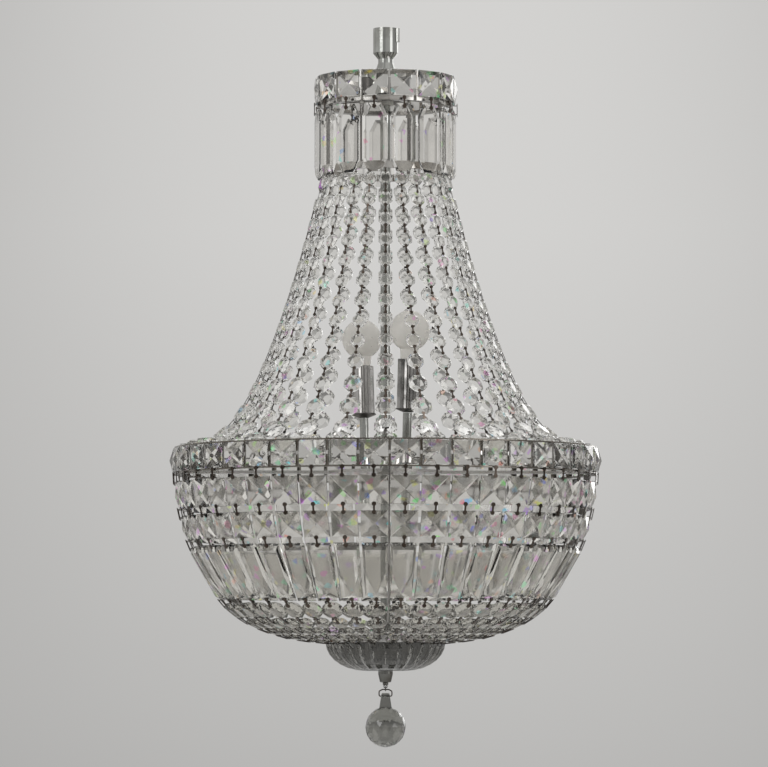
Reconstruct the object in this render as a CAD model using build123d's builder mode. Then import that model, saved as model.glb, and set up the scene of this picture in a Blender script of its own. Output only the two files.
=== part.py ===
from build123d import *
import os
from math import atan2, cos, degrees, pi, radians, sin, sqrt

os.makedirs("parts", exist_ok=True)

# A basket chandelier that hangs from the top face of its stem coupling, which is
# z = 0. Sizes are in millimetres, +Z is up, and the front faces -Y. An azimuth is
# counted from the front, towards +X.

# Clearances
running_fit = 0.05  # a threaded or sliding fit, on the radius
seat_gap = 0.3  # between pieces that lie against each other
pin_play = 0.3  # between a pin's leg and its hole, on the radius

# Stem coupling and centre column
stem_radius = 12.5
stem_straight = 25.0
stem_neck_radius = 7.5
stem_neck_top = 31.0
stem_neck_bottom = 35.0
stem_seat_radius = 11.0
stem_seat_top = 46.0
stem_length = 50.0
mount_thread_radius = 5.0
mount_thread_depth = 15.0
wire_bore_radius = 3.5
stem_boss_width = 5.0
stem_boss_height = 14.0
stem_boss_radius = 14.3
stem_boss_azimuth = 70.0
grub_screw_radius = 1.6
grub_screw_depth = 29.5
grub_screw_azimuth = 24.0
column_radius = 5.0
column_top = -20.0
nut_width = 14.0
nut_height = 5.0

# Crown
crown_top = -50.3
crown_height = 30.0  # from the crystals' top to the lower band's bottom edge
crown_crystal_height = 26.0
crown_overhang = 4.5  # from the neck ring out to the widest plane of the crown crystals
crown_crystal_width = 27.0
crown_crystal_front = 5.5
crown_crystal_back = 1.5
crown_turn = 3.0  # azimuth of the first bar
channel_inner = 3.8  # how far the metal reaches inside the crystals' plane
web_thickness = 2.0
upper_band_drop = 1.2
upper_band_height = 3.5
lower_band_height = 5.0
crown_shelf = 1.0
crown_shelf_width = 7.2
crown_bar_width = 0.9
crown_tab_width = 3.5
crown_tab_height = 6.0
crown_tab_thickness = 0.6
crown_tab_standoff = 1.8  # outside the crystals' plane
spider_hub_radius = 9.0
spider_arm_width = 8.0
spider_arm_thickness = 3.0
spider_drop = 70.0  # top of the crown spider's arms, below the mount

# Posts and neck ring
post_count = 4
post_azimuth = -23.0
post_radius = 1.9
post_inset = 2.5  # from the neck ring's outside in to the posts' centres
post_above_arm = 4.0
post_nut_width = 5.2
post_nut_height = 3.0
neck_radius = 62.5
neck_thickness = 4.6
neck_top = -140.8
neck_height = 7.0

# Crown prisms and their pins
prism_length = 68.0
prism_width = 25.0
prism_depth = 6.4
prism_edge = 2.4  # depth of the straight edge between the bevels
prism_bevel = 62.0
prism_end_width = 13.0
prism_end_height = 12.0
prism_overhang = 5.1  # from the neck ring out to the middle of the prisms
prism_gap = 3.7  # from the crown's lower band to the prism's top edge
prism_hole_radius = 1.6
prism_hole_drop = 4.0
prism_pin_radius = 0.5
prism_pin_lobe = 1.9
prism_pin_waist = 1.6
prism_pin_plate = 0.8
prism_pin_standoff = 0.9
band_hole_rise = 2.0

# Strings of octagons
bead_spacing = 14.8  # round the neck, from string to string
bead_gap = 7.5  # between the edges of two crystals on a string
small_bead = 14.0
large_beads = (16.0, 18.0, 20.0, 22.0, 22.0)
string_slack = 1.07  # length of a string over the straight line between its ends
bead_depth_share = 0.43  # depth over width, the same cut at each size
bead_bevel = 45.0
clip_width = 3.0
clip_thickness = 1.2

# Main ring
ring_top = -422.8
ring_height = 27.0
ring_mid_radius = 209.2  # the widest plane of the ring crystals
ring_crystal_width = 28.0
ring_crystal_spacing = 29.85
ring_crystal_front = 6.8
ring_crystal_back = 2.0
ring_flange = 1.2
ring_flange_inner = 7.2
ring_flange_outer = 2.1
ring_bar_width = 1.2
ring_bar_front = 1.1
ring_turn = 1.05  # azimuth of the first bar
rivet_radius = 1.8
rivet_height = 1.2
ring_hub_radius = 57.0
ring_spoke_width = 10.0
ring_spoke_thickness = 3.0

# Basket
basket_drop = 5.0  # from the ring down to the first row of clips
basket_gap = 6.2
square_large = 28.0
square_small = 26.0
square_depth = 8.0
prism_row_length = 60.0
prism_row_top = 25.0
prism_row_bottom = 21.0
prism_row_depth = 9.0
prism_row_edge = 1.2
prism_row_bevel = 60.0
octagon_rows = (20.0, 16.0, 14.0, 14.0, 14.0)
basket_slopes = (9.0, 16.6, 29.8, 51.0, 64.4, 73.0, 79.0, 84.0)  # of each row, inward
hoop_row = 6  # every second string ends at this row of clips
hoop_wire = 1.0
bottom_radius = 62.0
rib_count = 4
rib_standoff = 5.5
rib_depth = 5.0
rib_thickness = 1.5
bottom_ring_width = 9.0
bottom_ring_below = 2.0
bottom_arm_width = 8.0
bottom_arm_thickness = 3.0
bottom_hub_radius = 9.0

# Dish, finial and ball
dish_height = 28.4
dish_flat_radius = 20.0
dish_wall = 3.5
dish_hole_play = 0.5
finial_length = 11.7
finial_top_radius = 7.4
finial_end_radius = 5.6
finial_collar = 2.7
finial_thread_depth = 8.0
neck_pin_radius = 2.8
neck_pin_length = 2.0
eye_radius = 1.1
eye_wall = 0.9
eye_thickness = 2.2
eye_drop = 15.2  # below the finial's top
jump_ring_radius = 2.2
jump_ring_wire = 0.45
bail_wire = 0.6
bail_half_width = 6.4
bail_bend = 1.5
bail_shoulder = 3.2
bail_pivot_drop = 9.7  # below the eye
bail_leg_end = 2.0
ball_radius = 20.15
ball_drop = 30.6  # centre below the bail's pivot
lug_width = 15.0
lug_top_width = 7.5
lug_depth = 9.0
lug_top_depth = 4.5
lug_above_pivot = 3.2

# Lamps
lamp_count = 2
lamp_azimuth = 23.0
lamp_circle = 52.0
lamp_lean = 4.0  # outward
lamp_stem_length = 55.0
lamp_stem_radius = 4.6
lamp_stem_bore = 3.2
cup_radius = 12.4
cup_height = 4.0
cup_wall = 1.0
cover_length = 48.5
cover_radius = 11.0
cover_wall = 1.0
holder_length = 32.0
holder_radius = 9.0
holder_base = 4.0
bulb_radius = 20.0
bulb_rise = 28.0  # centre above the cover's top
bulb_base_radius = 7.0
bulb_neck_radius = 9.0


def place(azimuth, radius, height, slope=0.0):
    """The plane at a point round the axis: X runs sideways, Y up the string and Z
    outward. A string that slopes outward on its way down has a positive slope."""
    turn = radians(azimuth)
    tilt = radians(slope)
    outward = Vector(sin(turn), -cos(turn), 0)
    facing = outward * cos(tilt) + Vector(0, 0, sin(tilt))
    origin = outward * radius + Vector(0, 0, height)
    return Plane(origin=origin, x_dir=Vector(cos(turn), sin(turn), 0), z_dir=facing)


def save(piece, name):
    piece.label = name
    export_step(piece, f"parts/{name}.step", write_pcurves=False)


def root_of(function, low, high):
    """Where a rising function crosses zero."""
    for _ in range(60):
        middle = (low + high) / 2
        if function(middle) < 0:
            low = middle
        else:
            high = middle
    return (low + high) / 2


def copies(piece, planes):
    """One solid of the piece at each plane."""
    with BuildPart() as group:
        with Locations(*planes):
            add(piece)
    return group.part



def octagon_crystal(width):
    """Eight-sided crystal, bevelled front and back to a flat table."""
    with BuildPart() as crystal:
        with BuildSketch():
            RegularPolygon(width / 2, 8, major_radius=False, rotation=22.5)
        extrude(amount=width * bead_depth_share / 2, taper=bead_bevel)
        mirror(about=Plane.XY)
    return crystal.part


def pyramid_crystal(width, height, front, back):
    """Square crystal whose front and back are each four facets up to a small table."""
    table = 0.5
    x_low = width / 2 - table
    z_low = height / 2 - table
    with BuildPart() as crystal:
        for depth, turn in ((front, 90), (back, -90)):
            Wedge(
                width,
                depth,
                height,
                x_low,
                z_low,
                width - x_low,
                height - z_low,
                rotation=(turn, 0, 0),
                align=(Align.CENTER, Align.MIN, Align.CENTER),
            )
    return crystal.part


def long_prism(outline, depth, edge, bevel):
    """Plate with the given outline and a straight edge, bevelled on both sides."""
    with BuildPart() as prism:
        with BuildSketch():
            with BuildLine():
                Polyline(*outline, close=True)
            make_face()
        extrude(amount=edge / 2)
        with BuildSketch(Plane.XY.offset(edge / 2)):
            with BuildLine():
                Polyline(*outline, close=True)
            make_face()
        extrude(amount=(depth - edge) / 2, taper=bevel)
        mirror(about=Plane.XY)
    return prism.part


with BuildPart() as stem_coupling:
    with BuildSketch(Plane.XZ):
        with BuildLine():
            Polyline(
                (0, 0),
                (stem_radius, 0),
                (stem_radius, -stem_straight),
                (stem_neck_radius, -stem_neck_top),
                (stem_neck_radius, -stem_neck_bottom),
                (stem_seat_radius, -stem_seat_top),
                (stem_seat_radius, -stem_length),
                (0, -stem_length),
                close=True,
            )
        make_face()
    revolve(axis=Axis.Z)
    boss_depth = stem_boss_radius - stem_neck_radius
    boss_middle = (stem_boss_radius + stem_neck_radius) / 2
    with Locations(place(stem_boss_azimuth, boss_middle, -stem_boss_height / 2)):
        Box(stem_boss_width, stem_boss_height, boss_depth)
    with Locations((0, 0, 0)):
        Hole(mount_thread_radius, depth=mount_thread_depth)
        Hole(wire_bore_radius)
    with Locations(Location((0, 0, -stem_length), (180, 0, 0))):
        Hole(column_radius + running_fit, depth=stem_length + column_top)
    with BuildSketch(place(grub_screw_azimuth, 0, -grub_screw_depth)):
        Circle(grub_screw_radius + running_fit)
    extrude(amount=stem_radius, mode=Mode.SUBTRACT)
save(stem_coupling.part, "stem_coupling")

with BuildPart() as stem_grub_screw:
    grub_start = column_radius + seat_gap
    with BuildSketch(place(grub_screw_azimuth, grub_start, -grub_screw_depth)):
        Circle(grub_screw_radius)
    extrude(amount=stem_neck_radius - grub_start)
save(stem_grub_screw.part, "stem_grub_screw")


crown_mid_radius = neck_radius + crown_overhang
prism_mid_radius = neck_radius + prism_overhang
post_circle = neck_radius - post_inset
crown_count = int(2 * pi * crown_mid_radius / (crown_crystal_width + crown_bar_width))
crown_step = 360 / crown_count
crown_bottom = crown_top - crown_height
band_inner = crown_mid_radius - channel_inner
band_outer = band_inner + web_thickness
crown_bars = [crown_turn + crown_step * k for k in range(crown_count)]
crown_middles = [azimuth + crown_step / 2 for azimuth in crown_bars]
band_hole_z = crown_bottom + band_hole_rise
post_azimuths = [post_azimuth + 360 / post_count * k for k in range(post_count)]

# The crystals stand in front of two bands, and a thin bar between each two crystals
# ties the bands together.
upper_band_top = crown_top - upper_band_drop
with BuildPart() as crown_ring:
    with BuildSketch(Plane.XY.offset(upper_band_top - upper_band_height)):
        Circle(band_outer)
        Circle(band_inner, mode=Mode.SUBTRACT)
    extrude(amount=upper_band_height)
    with BuildSketch(Plane.XY.offset(crown_bottom)):
        Circle(band_outer)
        Circle(band_inner, mode=Mode.SUBTRACT)
    extrude(amount=lower_band_height)
    with BuildSketch(Plane.XY.offset(crown_bottom)):
        Circle(band_outer)
        Circle(band_inner - crown_shelf_width, mode=Mode.SUBTRACT)
        with Locations(*[place(a, post_circle, 0).origin for a in post_azimuths]):
            Circle(post_radius + running_fit, mode=Mode.SUBTRACT)
    extrude(amount=crown_shelf)
    bar_start = band_inner + web_thickness / 2
    tab_start = crown_mid_radius + crown_tab_standoff
    with Locations(*[place(a, bar_start, upper_band_top) for a in crown_bars]):
        Box(
            crown_bar_width,
            upper_band_top - crown_bottom,
            tab_start - bar_start,
            align=(Align.CENTER, Align.MAX, Align.MIN),
        )
    with Locations(*[place(a, tab_start, upper_band_top) for a in crown_bars]):
        Box(
            crown_tab_width,
            crown_tab_height,
            crown_tab_thickness,
            align=(Align.CENTER, Align.MAX, Align.MIN),
        )
    for azimuth in crown_middles:
        with BuildSketch(place(azimuth, band_inner - web_thickness, band_hole_z)):
            Circle(prism_pin_radius + pin_play)
        extrude(amount=3 * web_thickness, mode=Mode.SUBTRACT)
save(crown_ring.part, "crown_ring")

crown_crystal = pyramid_crystal(
    crown_crystal_width,
    crown_crystal_height,
    crown_crystal_front,
    crown_crystal_back,
)
crown_crystal_z = crown_top - crown_crystal_height / 2
crown_crystals = copies(
    crown_crystal,
    [place(a, crown_mid_radius, crown_crystal_z) for a in crown_middles],
)
save(crown_crystals, "crown_crystals")

arm_top = -spider_drop
arm_bottom = arm_top - spider_arm_thickness
with BuildPart() as crown_hub:
    with BuildSketch(Plane.XY.offset(arm_bottom)):
        Circle(spider_hub_radius)
        Circle(column_radius + running_fit, mode=Mode.SUBTRACT)
    extrude(amount=-stem_length - arm_bottom)
save(crown_hub.part, "crown_hub")

# Arms from the hub out past the posts, which go through them
arm_start = spider_hub_radius + seat_gap
with BuildPart() as crown_arms:
    with BuildSketch(Plane.XY.offset(arm_bottom)):
        for azimuth in post_azimuths:
            with Locations(Location((0, 0, 0), (0, 0, azimuth - 90))):
                with Locations((arm_start, 0)):
                    Rectangle(
                        post_circle + 2 * post_radius - arm_start,
                        spider_arm_width,
                        align=(Align.MIN, Align.CENTER),
                    )
        with Locations(*[place(a, post_circle, 0).origin for a in post_azimuths]):
            Circle(post_radius + running_fit, mode=Mode.SUBTRACT)
    extrude(amount=spider_arm_thickness)
save(crown_arms.part, "crown_arms")


post_top = arm_top + post_above_arm
with BuildPart() as support_posts:
    with BuildSketch(Plane.XY.offset(neck_top)):
        with Locations(*[place(a, post_circle, 0).origin for a in post_azimuths]):
            Circle(post_radius)
    extrude(amount=post_top - neck_top)
save(support_posts.part, "support_posts")

# One nut of each post is above its arm, and the other is under the crown's shelf
with BuildPart() as post_nuts:
    for nut_base in (arm_top, crown_bottom - post_nut_height):
        with BuildSketch(Plane.XY.offset(nut_base)):
            with Locations(*[place(a, post_circle, 0).origin for a in post_azimuths]):
                RegularPolygon(post_nut_width / 2, 6, major_radius=False)
                Circle(post_radius + running_fit, mode=Mode.SUBTRACT)
        extrude(amount=post_nut_height)
save(post_nuts.part, "post_nuts")

neck_bottom = neck_top - neck_height
with BuildPart() as neck_ring:
    with BuildSketch(Plane.XY.offset(neck_bottom)):
        Circle(neck_radius)
        Circle(neck_radius - neck_thickness, mode=Mode.SUBTRACT)
    extrude(amount=neck_height)
save(neck_ring.part, "neck_ring")


prism_top = crown_bottom - prism_gap
prism_hinge_z = prism_top - prism_hole_drop
half_end = prism_end_width / 2
prism_outline = [
    (-half_end, prism_hole_drop),
    (-prism_width / 2, prism_hole_drop - prism_end_height),
    (-prism_width / 2, prism_hole_drop - prism_length + prism_end_height),
    (-half_end, prism_hole_drop - prism_length),
]
prism_outline += [(-x, y) for x, y in reversed(prism_outline)]
prism_body = long_prism(prism_outline, prism_depth, prism_edge, prism_bevel)

with BuildPart() as crown_prism:
    add(prism_body)
    with BuildSketch(Plane.XY.offset(-prism_depth)):
        Circle(prism_hole_radius)
    extrude(amount=2 * prism_depth, mode=Mode.SUBTRACT)

for number, azimuth in enumerate(crown_middles, start=1):
    with BuildPart() as hung_prism:
        with Locations(place(azimuth, prism_mid_radius, prism_hinge_z)):
            add(crown_prism.part)
    save(hung_prism.part, f"crown_prism_{number:02d}")

# A pin's front plate has a lobe at each leg. The upper leg goes through the crown's
# lower band and the lower one through the prism, which swings on it.
with BuildPart() as prism_pin:
    plate_z = prism_depth / 2 + prism_pin_standoff
    leg_rise = band_hole_z - prism_hinge_z
    with BuildSketch(Plane.XY.offset(plate_z)):
        with Locations((0, 0), (0, leg_rise)):
            RegularPolygon(prism_pin_lobe, 4)
        with Locations((0, leg_rise / 2)):
            Rectangle(prism_pin_waist, leg_rise)
    extrude(amount=prism_pin_plate)
    with BuildSketch(Plane.XY.offset(plate_z)):
        Circle(prism_pin_radius)
    extrude(amount=-plate_z - prism_depth / 2 - prism_pin_standoff)
    with BuildSketch(Plane.XY.offset(plate_z)):
        with Locations((0, leg_rise)):
            Circle(prism_pin_radius)
    extrude(amount=-(prism_mid_radius + plate_z - band_inner + prism_pin_standoff))
crown_prism_pins = copies(
    prism_pin.part,
    [place(a, prism_mid_radius, prism_hinge_z) for a in crown_middles],
)
save(crown_prism_pins, "crown_prism_pins")


# Each string is a chain that hangs between the neck ring and the main ring. A
# crystal's weight goes with the cube of its width, and the slope of each link follows
# from the sideways pull, which is the same all along, and the weight hung below it.
string_count = int(2 * pi * (neck_radius - web_thickness / 2) / bead_spacing)
string_step = 360 / string_count
string_start = (neck_radius - web_thickness / 2, neck_bottom)
string_end = (ring_mid_radius - ring_flange_inner + web_thickness + 0.5, ring_top + 1.0)
string_run = string_end[0] - string_start[0]
string_fall = string_start[1] - string_end[1]
large_length = sum(width + bead_gap for width in large_beads)
wanted_length = string_slack * sqrt(string_run**2 + string_fall**2)
small_count = round((wanted_length - large_length) / (small_bead + bead_gap))
bead_widths = [small_bead] * small_count + list(large_beads)
bead_weights = [(width / small_bead) ** 3 for width in bead_widths]


def chain_slopes(pull, lift):
    """Slope of each link from straight down, for a sideways pull and a top lift."""
    slopes = []
    for weight in bead_weights:
        slopes.append(atan2(pull, lift - weight / 2))
        lift -= weight
    return slopes


def chain_fall(pull, lift):
    slopes = chain_slopes(pull, lift)
    return sum((w + bead_gap) * cos(s) for w, s in zip(bead_widths, slopes))


def chain_run(pull, lift):
    slopes = chain_slopes(pull, lift)
    return sum((w + bead_gap) * sin(s) for w, s in zip(bead_widths, slopes))


def lift_for(pull):
    """The lift at which the chain falls as far as the rings are apart."""
    return root_of(lambda lift: chain_fall(pull, lift) - string_fall, -most_pull, most_pull)


most_pull = 20 * sum(bead_weights)
string_pull = root_of(
    lambda pull: chain_run(pull, lift_for(pull)) - string_run,
    most_pull / 1e5,
    most_pull,
)
string_slopes = [degrees(s) for s in chain_slopes(string_pull, lift_for(string_pull))]


def rows_along(start, widths, gap, slopes):
    """Clip rows of a string, and the middle and slope of each crystal between them."""
    rows = [start]
    crystals = []
    for width, slope in zip(widths, slopes):
        radius, height = rows[-1]
        reach = Vector(sin(radians(slope)), -cos(radians(slope))) * (width + gap)
        rows.append((radius + reach.X, height + reach.Y))
        crystals.append((radius + reach.X / 2, height + reach.Y / 2, slope))
    return rows, crystals


string_rows, string_beads = rows_along(string_start, bead_widths, bead_gap, string_slopes)
string_azimuths = [string_step * k for k in range(string_count)]

for width in sorted(set(bead_widths)):
    bead_planes = [
        place(azimuth, radius, height, slope)
        for azimuth in string_azimuths
        for (radius, height, slope), own_width in zip(string_beads, bead_widths)
        if own_width == width
    ]
    bead_group = copies(octagon_crystal(width), bead_planes)
    save(bead_group, f"strand_octagons_{width:.0f}")


def clip_bar(length):
    """Flat clip between two crystals' edges, with its gap at each end taken off."""
    with BuildPart() as clip:
        Box(clip_width, length - 2 * seat_gap, clip_thickness)
    return clip.part


def between(first, second):
    """Middle, slope and distance between two points of a string."""
    run = second[0] - first[0]
    fall = first[1] - second[1]
    middle = ((first[0] + second[0]) / 2, (first[1] + second[1]) / 2)
    return middle[0], middle[1], degrees(atan2(run, fall)), sqrt(run**2 + fall**2)


def ends_of(crystal, width):
    """Upper and lower edge of a crystal on its string."""
    radius, height, slope = crystal
    half = Vector(sin(radians(slope)), -cos(radians(slope))) * (width / 2)
    return (radius - half.X, height - half.Y), (radius + half.X, height + half.Y)


def clip_spans(start, crystals, widths, end):
    """The gap before, between and after the crystals of a string."""
    edges = [start]
    for crystal, width in zip(crystals, widths):
        edges += ends_of(crystal, width)
    edges.append(end)
    return [between(edges[k], edges[k + 1]) for k in range(0, len(edges), 2)]


def clips_round(spans, azimuths):
    """A clip in each span of each string."""
    with BuildPart() as clips:
        for radius, height, slope, length in spans:
            with Locations(*[place(a, radius, height, slope) for a in azimuths]):
                add(clip_bar(length))
    return clips.part


strand_spans = clip_spans(string_start, string_beads, bead_widths, string_rows[-1])
save(clips_round(strand_spans, string_azimuths), "strand_clips")


ring_count = int(2 * pi * ring_mid_radius / ring_crystal_spacing)
ring_step = 360 / ring_count
ring_bottom = ring_top - ring_height
ring_middle = ring_top - ring_height / 2
ring_inner = ring_mid_radius - ring_flange_inner
ring_outer = ring_mid_radius + ring_flange_outer
ring_bars = [ring_turn + ring_step * k for k in range(ring_count)]
ring_middles = [azimuth + ring_step / 2 for azimuth in ring_bars]
bar_inner = ring_mid_radius - channel_inner
bar_outer = ring_mid_radius + ring_bar_front

with BuildPart() as ring_flanges:
    for flange_base in (ring_bottom, ring_top - ring_flange):
        with BuildSketch(Plane.XY.offset(flange_base)):
            Circle(ring_outer)
            Circle(ring_inner, mode=Mode.SUBTRACT)
        extrude(amount=ring_flange)
save(ring_flanges.part, "main_ring_flanges")

with BuildPart() as ring_bar:
    Box(
        ring_bar_width,
        ring_height - 2 * ring_flange,
        bar_outer - bar_inner,
        align=(Align.CENTER, Align.CENTER, Align.MIN),
    )
ring_bar_group = copies(ring_bar.part, [place(a, bar_inner, ring_middle) for a in ring_bars])
save(ring_bar_group, "main_ring_bars")

ring_crystal = pyramid_crystal(
    ring_crystal_width,
    ring_height - 2 * ring_flange - 2 * seat_gap,
    ring_crystal_front,
    ring_crystal_back,
)
ring_crystals = copies(
    ring_crystal,
    [place(a, ring_mid_radius, ring_middle) for a in ring_middles],
)
save(ring_crystals, "main_ring_crystals")

with BuildPart() as rivet:
    Cylinder(rivet_radius, rivet_height, align=(Align.CENTER, Align.CENTER, Align.MIN))
ring_rivets = copies(rivet.part, [place(a, bar_outer, ring_middle) for a in ring_bars])
save(ring_rivets, "main_ring_rivets")

# The spokes lie on the ring's lower flange and stop short of its bars.
rib_azimuths = [ring_turn + ring_step * round(k * ring_count / rib_count) for k in range(rib_count)]
spoke_bottom = ring_bottom + ring_flange
spoke_top = spoke_bottom + ring_spoke_thickness
with BuildPart() as ring_hub:
    with BuildSketch(Plane.XY.offset(spoke_bottom)):
        Circle(ring_hub_radius)
        Circle(column_radius + running_fit, mode=Mode.SUBTRACT)
    extrude(amount=ring_spoke_thickness)
save(ring_hub.part, "ring_hub")

spoke_start = ring_hub_radius + seat_gap
spoke_end = bar_inner - 1
with BuildPart() as ring_spokes:
    with BuildSketch(Plane.XY.offset(spoke_bottom)):
        for azimuth in rib_azimuths:
            with Locations(Location((0, 0, 0), (0, 0, azimuth - 90))):
                with Locations((spoke_start, 0)):
                    Rectangle(
                        spoke_end - spoke_start,
                        ring_spoke_width,
                        align=(Align.MIN, Align.CENTER),
                    )
    extrude(amount=ring_spoke_thickness)
save(ring_spokes.part, "ring_spokes")


row_lengths = (square_large, square_small, prism_row_length) + octagon_rows
basket_start = (ring_mid_radius, ring_bottom - basket_drop)


def basket_reach(turn):
    """How far inward the string comes when all its slopes are turned by a factor."""
    steps = zip(row_lengths, basket_slopes)
    return sum((length + basket_gap) * sin(radians(turn * slope)) for length, slope in steps)


wanted_reach = ring_mid_radius - bottom_radius
slope_turn = root_of(lambda turn: basket_reach(turn) - wanted_reach, 0.1, 1.3)
inward_slopes = [-slope_turn * slope for slope in basket_slopes]
basket_rows, basket_crystals = rows_along(basket_start, row_lengths, basket_gap, inward_slopes)
all_strings = ring_middles
long_strings = ring_middles[::2]
short_strings = ring_middles[1::2]


def basket_row(piece, row):
    """One crystal of this row on each string that reaches it."""
    radius, height, slope = basket_crystals[row]
    azimuths = all_strings if row < hoop_row else long_strings
    return [(place(a, radius, height, slope)) for a in azimuths]


half_depth = square_depth / 2
large_square = pyramid_crystal(square_large, square_large, half_depth, half_depth)
save(copies(large_square, basket_row(large_square, 0)), "basket_squares_28")
small_square = pyramid_crystal(square_small, square_small, half_depth, half_depth)
save(copies(small_square, basket_row(small_square, 1)), "basket_squares_26")
half_length = prism_row_length / 2
row_prism = long_prism(
    [
        (-prism_row_top / 2, half_length),
        (-prism_row_bottom / 2, -half_length),
        (prism_row_bottom / 2, -half_length),
        (prism_row_top / 2, half_length),
    ],
    prism_row_depth,
    prism_row_edge,
    prism_row_bevel,
)
save(copies(row_prism, basket_row(row_prism, 2)), "basket_prisms")
for width in sorted(set(octagon_rows)):
    octagon = octagon_crystal(width)
    octagon_planes = []
    for row, own_width in enumerate(row_lengths):
        if row > 2 and own_width == width:
            octagon_planes += basket_row(octagon, row)
    save(copies(octagon, octagon_planes), f"basket_octagons_{width:.0f}")

ring_seat = (ring_mid_radius, ring_bottom)
upper_crystals = basket_crystals[:hoop_row]
upper_lengths = row_lengths[:hoop_row]
hoop_point = basket_rows[hoop_row]
past_hoop = hoop_wire + seat_gap
hoop_slope = radians(inward_slopes[hoop_row - 1])
short_end = (
    hoop_point[0] + past_hoop * sin(hoop_slope),
    hoop_point[1] - past_hoop * cos(hoop_slope),
)
long_spans = clip_spans(ring_seat, basket_crystals, row_lengths, basket_rows[-1])
short_spans = clip_spans(ring_seat, upper_crystals, upper_lengths, short_end)
with BuildPart() as basket_clips:
    add(clips_round(long_spans, long_strings))
    add(clips_round(short_spans, short_strings))
save(basket_clips.part, "basket_clips")


def inside_of(point, slope, distance):
    """The point that lies this far inside a string, square to it."""
    tilt = radians(slope)
    return (point[0] - distance * cos(tilt), point[1] - distance * sin(tilt))


# Hoop behind the clips of its row
hoop_offset = clip_thickness / 2 + seat_gap + hoop_wire
hoop_radius, hoop_height = inside_of(hoop_point, inward_slopes[hoop_row - 1], hoop_offset)
with BuildPart() as basket_hoop:
    with Locations((0, 0, hoop_height)):
        Torus(hoop_radius, hoop_wire)
save(basket_hoop.part, "basket_hoop")

# Bottom ring, with arms to a hub on the column
bottom_end = basket_rows[-1]
bottom_outer = bottom_end[0] - seat_gap
bottom_inner = bottom_outer - bottom_ring_width
rib_foot = inside_of(bottom_end, inward_slopes[-1], rib_standoff)
bottom_top = rib_foot[1] - seat_gap
bottom_base = bottom_end[1] - bottom_ring_below
with BuildPart() as bottom_ring:
    with BuildSketch(Plane.XY.offset(bottom_base)):
        Circle(bottom_outer)
        Circle(bottom_inner, mode=Mode.SUBTRACT)
    extrude(amount=bottom_top - bottom_base)
    with BuildSketch(Plane.XY.offset(bottom_base)):
        Circle(bottom_hub_radius)
        for azimuth in rib_azimuths:
            with Locations(Location((0, 0, 0), (0, 0, azimuth - 90))):
                Rectangle(
                    bottom_inner + 1,
                    bottom_arm_width,
                    align=(Align.MIN, Align.CENTER),
                )
        Circle(column_radius + running_fit, mode=Mode.SUBTRACT)
    extrude(amount=bottom_arm_thickness)
save(bottom_ring.part, "bottom_ring")

# Ribs: thin strips that follow the strings on the inside, from the main ring's lower
# flange to the bottom ring.
rib_top = (basket_start[0], ring_bottom - seat_gap)
rib_points = [rib_top] + basket_rows[1:]
rib_tilts = [0.0]
for upper, lower in zip(inward_slopes, inward_slopes[1:]):
    rib_tilts.append((upper + lower) / 2)
rib_tilts.append(inward_slopes[-1])
outer_line = [inside_of(p, s, rib_standoff) for p, s in zip(rib_points, rib_tilts)]
inner_line = [inside_of(p, s, rib_standoff + rib_depth) for p, s in zip(rib_points, rib_tilts)]
with BuildPart() as rib:
    with BuildSketch(Plane.XZ):
        with BuildLine():
            Polyline(*outer_line, *reversed(inner_line), close=True)
        make_face()
    extrude(amount=rib_thickness / 2, both=True)
with BuildPart() as basket_ribs:
    with Locations(*[Location((0, 0, 0), (0, 0, azimuth - 90)) for azimuth in rib_azimuths]):
        add(rib.part)
save(basket_ribs.part, "basket_ribs")


dish_rim = bottom_base - seat_gap
dish_radius = bottom_outer - web_thickness
dish_bottom = dish_rim - dish_height
curve_width = dish_radius - dish_flat_radius
with BuildPart() as bottom_dish:
    with BuildSketch(Plane.XZ):
        with BuildLine():
            outer_curve = EllipticalCenterArc(
                (dish_flat_radius, dish_rim),
                curve_width,
                dish_height,
                start_angle=270,
                arc_size=90,
            )
            Line(outer_curve @ 0, (0, dish_bottom))
            Line((0, dish_bottom), (0, dish_rim))
            Line((0, dish_rim), outer_curve @ 1)
        make_face()
    revolve(axis=Axis.Z)
    with BuildSketch(Plane.XZ):
        with BuildLine():
            inner_curve = EllipticalCenterArc(
                (dish_flat_radius, dish_rim),
                curve_width - dish_wall,
                dish_height - dish_wall,
                start_angle=270,
                arc_size=90,
            )
            Line(inner_curve @ 0, (0, dish_bottom + dish_wall))
            Line((0, dish_bottom + dish_wall), (0, dish_rim))
            Line((0, dish_rim), inner_curve @ 1)
        make_face()
    revolve(axis=Axis.Z, mode=Mode.SUBTRACT)
    with BuildSketch(Plane.XY.offset(dish_bottom)):
        Circle(column_radius + dish_hole_play)
    extrude(amount=dish_wall, mode=Mode.SUBTRACT)
save(bottom_dish.part, "bottom_dish")

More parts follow.
